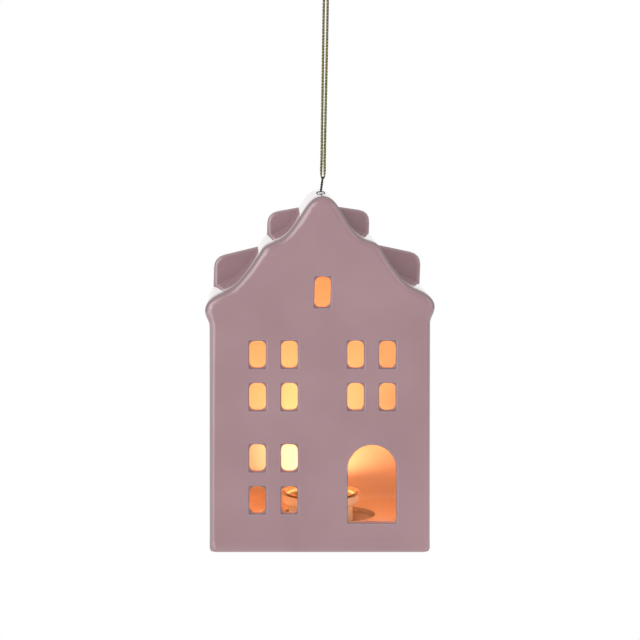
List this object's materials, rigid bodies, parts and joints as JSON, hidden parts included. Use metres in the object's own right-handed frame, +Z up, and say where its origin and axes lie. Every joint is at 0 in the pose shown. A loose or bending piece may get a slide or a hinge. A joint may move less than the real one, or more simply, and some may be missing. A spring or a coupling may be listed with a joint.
{
  "type": "lighted ceramic house ornament",
  "caption": "Hanging glazed ceramic canal house with a bell gable, open windows and an arched doorway, a stepped rear gable, and a pull-out battery light in its floor.",
  "frame": {"origin": "middle of the foot's underside", "axes": "+Z up through the ridge, -Y out of the front with the doorway, +X to the right of a person facing the front"},
  "size_m": [0.1112, 0.081, 0.2835],
  "materials": {
    "house_glaze": "gloss",
    "dark_wire": "satin",
    "gold_cord": "metallic thread",
    "pale_plastic": "satin",
    "metallised_dish": "gloss",
    "soft_rubber": "matte",
    "warm_lamp": "clear",
    "board_green": "satin",
    "plated_steel": "satin",
    "cell_steel": "satin",
    "black_plastic": "matte"
  },
  "bodies": {
    "house": {"ceramic_house": "house_glaze", "wire_hanger": "dark_wire", "hanging_cord": "gold_cord", "cord_knot": "gold_cord"},
    "light_unit": {"light_housing": "pale_plastic", "reflector_dish": "metallised_dish", "grip_ring": "soft_rubber", "warm_led": "warm_lamp", "circuit_board": "board_green", "board_screw_front": "plated_steel", "board_screw_rear": "plated_steel", "switch_body": "black_plastic", "coin_battery": "cell_steel", "positive_contact": "plated_steel", "negative_contact": "plated_steel"},
    "switch_slider": {"switch_knob": "black_plastic"},
    "cell_door": {"battery_door": "pale_plastic"}
  },
  "joints": [
    {"name": "light_pull", "type": "slide", "parent": "house", "child": "light_unit", "axis": [0, 0, -1], "range_m": [0, 0.03]},
    {"name": "switch_slide", "type": "slide", "parent": "light_unit", "child": "switch_slider", "axis": [0, -1, 0], "range_m": [0, 0.002]},
    {"name": "cell_door_turn", "type": "hinge", "parent": "light_unit", "child": "cell_door", "pos_m": [-0.0022, 0, 0.004], "axis": [0, 0, 1], "range_deg": [0, 45]}
  ]
}
